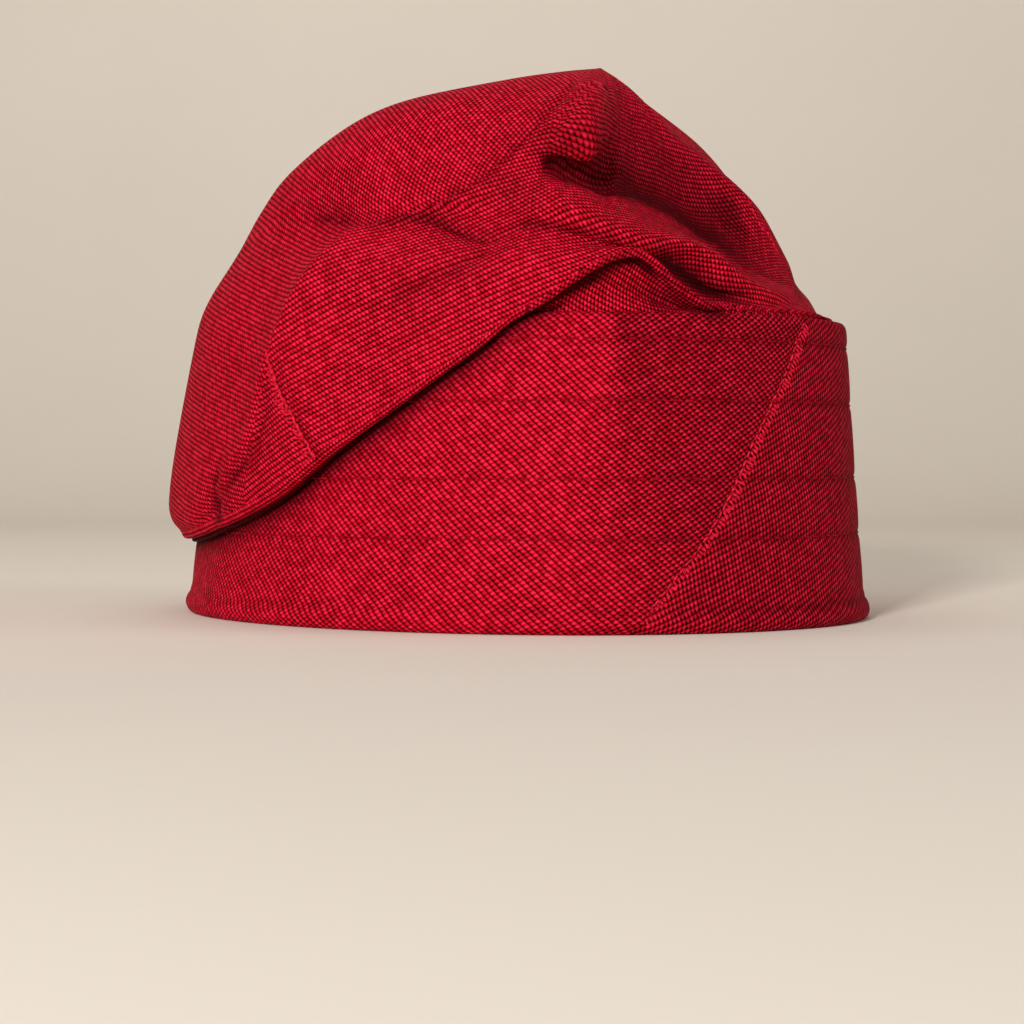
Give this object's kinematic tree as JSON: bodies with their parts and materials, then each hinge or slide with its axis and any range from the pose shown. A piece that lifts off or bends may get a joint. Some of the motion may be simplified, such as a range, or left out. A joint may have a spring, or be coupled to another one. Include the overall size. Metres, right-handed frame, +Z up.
{
  "type": "soft brimless cap",
  "caption": "Soft brimless cloth cap: an upright quilted band with a slanted seam, and a folded crown that flops over the band to one side.",
  "frame": {"origin": "middle of the cap's box, on the surface that the rim stands on", "axes": "+Z up, -Y towards the wearer's forehead, +X towards the wearer's left"},
  "size_m": [0.178, 0.2074, 0.1473],
  "materials": {
    "band_cloth": "coarse woven red cloth, doubled, cut on the bias, matt",
    "crown_cloth": "coarse woven red cloth, single, matt"
  },
  "bodies": {
    "root": {"band": "band_cloth", "crown": "crown_cloth"}
  },
  "joints": []
}
